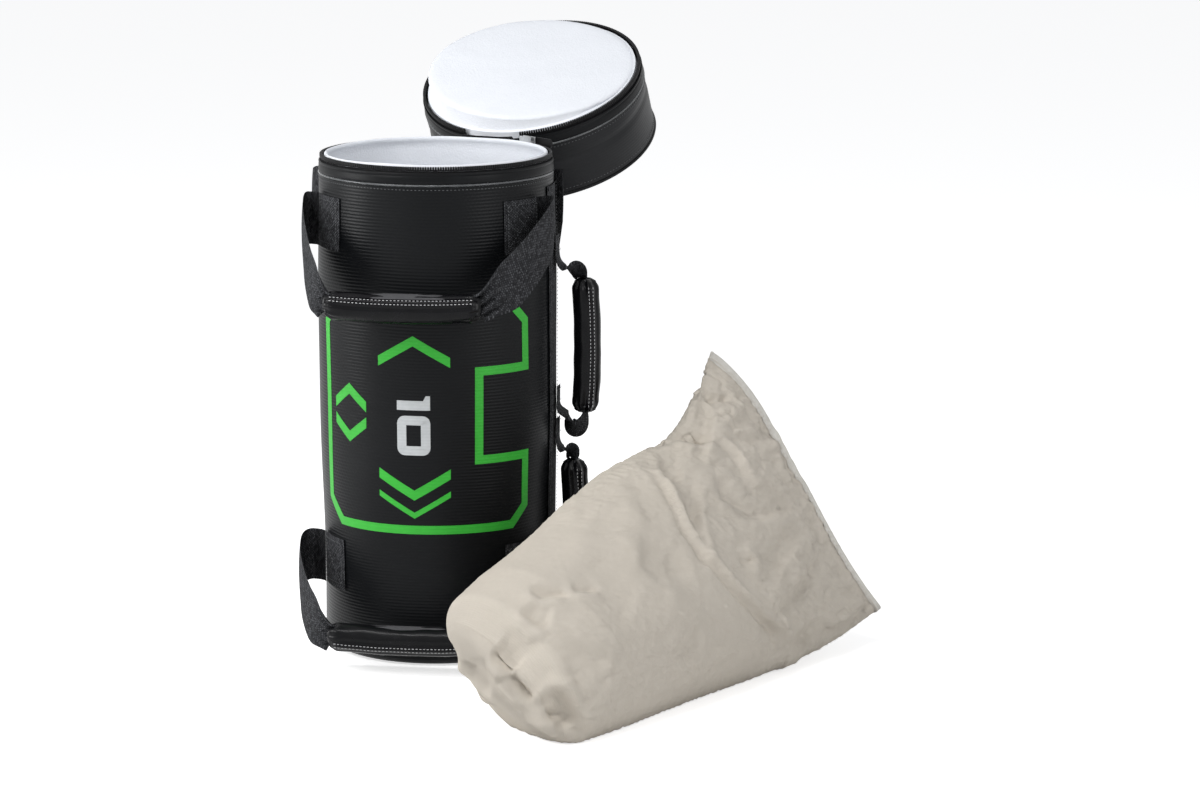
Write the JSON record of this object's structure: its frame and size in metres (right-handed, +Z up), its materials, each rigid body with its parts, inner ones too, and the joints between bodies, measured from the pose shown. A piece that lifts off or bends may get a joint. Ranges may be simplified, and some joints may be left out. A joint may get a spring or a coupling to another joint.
{
  "type": "sandbag trainer",
  "caption": "Cylindrical vinyl training bag with a hinged zip lid, padded webbing handles and a canvas filler bag that goes inside.",
  "frame": {"origin": "centre of the underside of the carry bag, on the surface that it stands on", "axes": "+Z up along the carry bag, -Y towards the front handles and the print, +X towards the side handles"},
  "size_m": [0.5829, 0.7331, 0.5903],
  "materials": {
    "black_vinyl": "satin coated fabric",
    "base_vinyl": "matt coated fabric",
    "piping_vinyl": "smooth",
    "white_foam": "closed-cell foam, matt",
    "zip_tape": "woven",
    "zip_plastic": "moulded",
    "zip_metal": "die cast, satin",
    "webbing": "woven",
    "grip_leather": "glossy synthetic leather",
    "grip_foam": "closed-cell foam",
    "canvas": "cotton canvas",
    "sand": "loose grains",
    "mouth_tape": "woven",
    "touch_fastener": "hook and loop"
  },
  "bodies": {
    "shell": {"shell_wall": "black_vinyl", "base_disc": "base_vinyl", "foam_base_pad": "white_foam", "foam_liner": "white_foam", "rim_band_body": "black_vinyl", "rim_piping_body": "piping_vinyl", "zip_tape_body": "zip_tape", "zip_teeth_body": "zip_plastic", "zip_stop_start": "zip_metal", "zip_stop_end": "zip_metal", "hinge_leaf_body": "black_vinyl", "front_top_anchor_right": "webbing", "front_top_anchor_left": "webbing", "front_bottom_anchor_right": "webbing", "front_bottom_anchor_left": "webbing", "rear_top_anchor_right": "webbing", "rear_top_anchor_left": "webbing", "side_seam_strip": "webbing", "side_upper_anchor_top": "webbing", "side_upper_anchor_bottom": "webbing", "side_lower_anchor_top": "webbing", "side_lower_anchor_bottom": "webbing"},
    "lid": {"lid_wall": "black_vinyl", "lid_end_disc": "black_vinyl", "lid_end_piping": "piping_vinyl", "rim_band_lid": "black_vinyl", "rim_piping_lid": "piping_vinyl", "zip_tape_lid": "zip_tape", "zip_teeth_lid": "zip_plastic", "lid_foam_pad": "white_foam", "hinge_leaf_lid": "black_vinyl"},
    "slider": {"zip_slider": "zip_metal"},
    "pull": {"zip_pull": "zip_metal"},
    "filler": {"filler_bag": "canvas", "mouth_binding": "mouth_tape", "sand_fill": "sand", "hook_strip": "touch_fastener", "loop_strip": "touch_fastener"},
    "front_top_handle": {"front_top_webbing": "webbing", "front_top_grip_cover": "grip_leather", "front_top_grip_core": "grip_foam"},
    "front_bottom_handle": {"front_bottom_webbing": "webbing", "front_bottom_grip_cover": "grip_leather", "front_bottom_grip_core": "grip_foam"},
    "rear_top_handle": {"rear_top_webbing": "webbing", "rear_top_grip_cover": "grip_leather", "rear_top_grip_core": "grip_foam"},
    "side_upper_handle": {"side_upper_webbing": "webbing", "side_upper_grip_cover": "grip_leather", "side_upper_grip_core": "grip_foam"},
    "side_lower_handle": {"side_lower_webbing": "webbing", "side_lower_grip_cover": "grip_leather", "side_lower_grip_core": "grip_foam"}
  },
  "joints": [
    {"name": "lid_hinge", "type": "hinge", "parent": "shell", "child": "lid", "pos_m": [0.0322, 0.11612, 0.4919], "axis": [-0.9636, 0.2672, 0], "range_deg": [-155, 0]},
    {"name": "zip_travel", "type": "hinge", "parent": "shell", "child": "slider", "pos_m": [0, 0, 0.4919], "axis": [0, 0, 1], "range_deg": [-300, 0]},
    {"name": "pull_swing", "type": "hinge", "parent": "slider", "child": "pull", "pos_m": [0.0826, 0.08553, 0.4919], "axis": [0, 0, 1], "range_deg": [0, 110]},
    {"name": "front_top_swing", "type": "hinge", "parent": "shell", "child": "front_top_handle", "pos_m": [0, -0.039, 0.43], "axis": [-1, 0, 0], "range_deg": [0, 90]},
    {"name": "front_bottom_swing", "type": "hinge", "parent": "shell", "child": "front_bottom_handle", "pos_m": [0, -0.03791, 0.092], "axis": [-1, 0, 0], "range_deg": [0, 60]},
    {"name": "rear_top_swing", "type": "hinge", "parent": "shell", "child": "rear_top_handle", "pos_m": [0, 0.03875, 0.445], "axis": [1, 0, 0], "range_deg": [0, 12]},
    {"name": "side_upper_swing", "type": "hinge", "parent": "shell", "child": "side_upper_handle", "pos_m": [0.12076, 0, 0.3015], "axis": [0, 0, 1], "range_deg": [-35, 35]},
    {"name": "side_lower_swing", "type": "hinge", "parent": "shell", "child": "side_lower_handle", "pos_m": [0.11977, 0, 0.1195], "axis": [0, 0, 1], "range_deg": [-20, 20]},
    {"name": "filler_lift", "type": "slide", "parent": "shell", "child": "filler", "axis": [0, 0, 1], "range_m": [0, 0.4]}
  ]
}
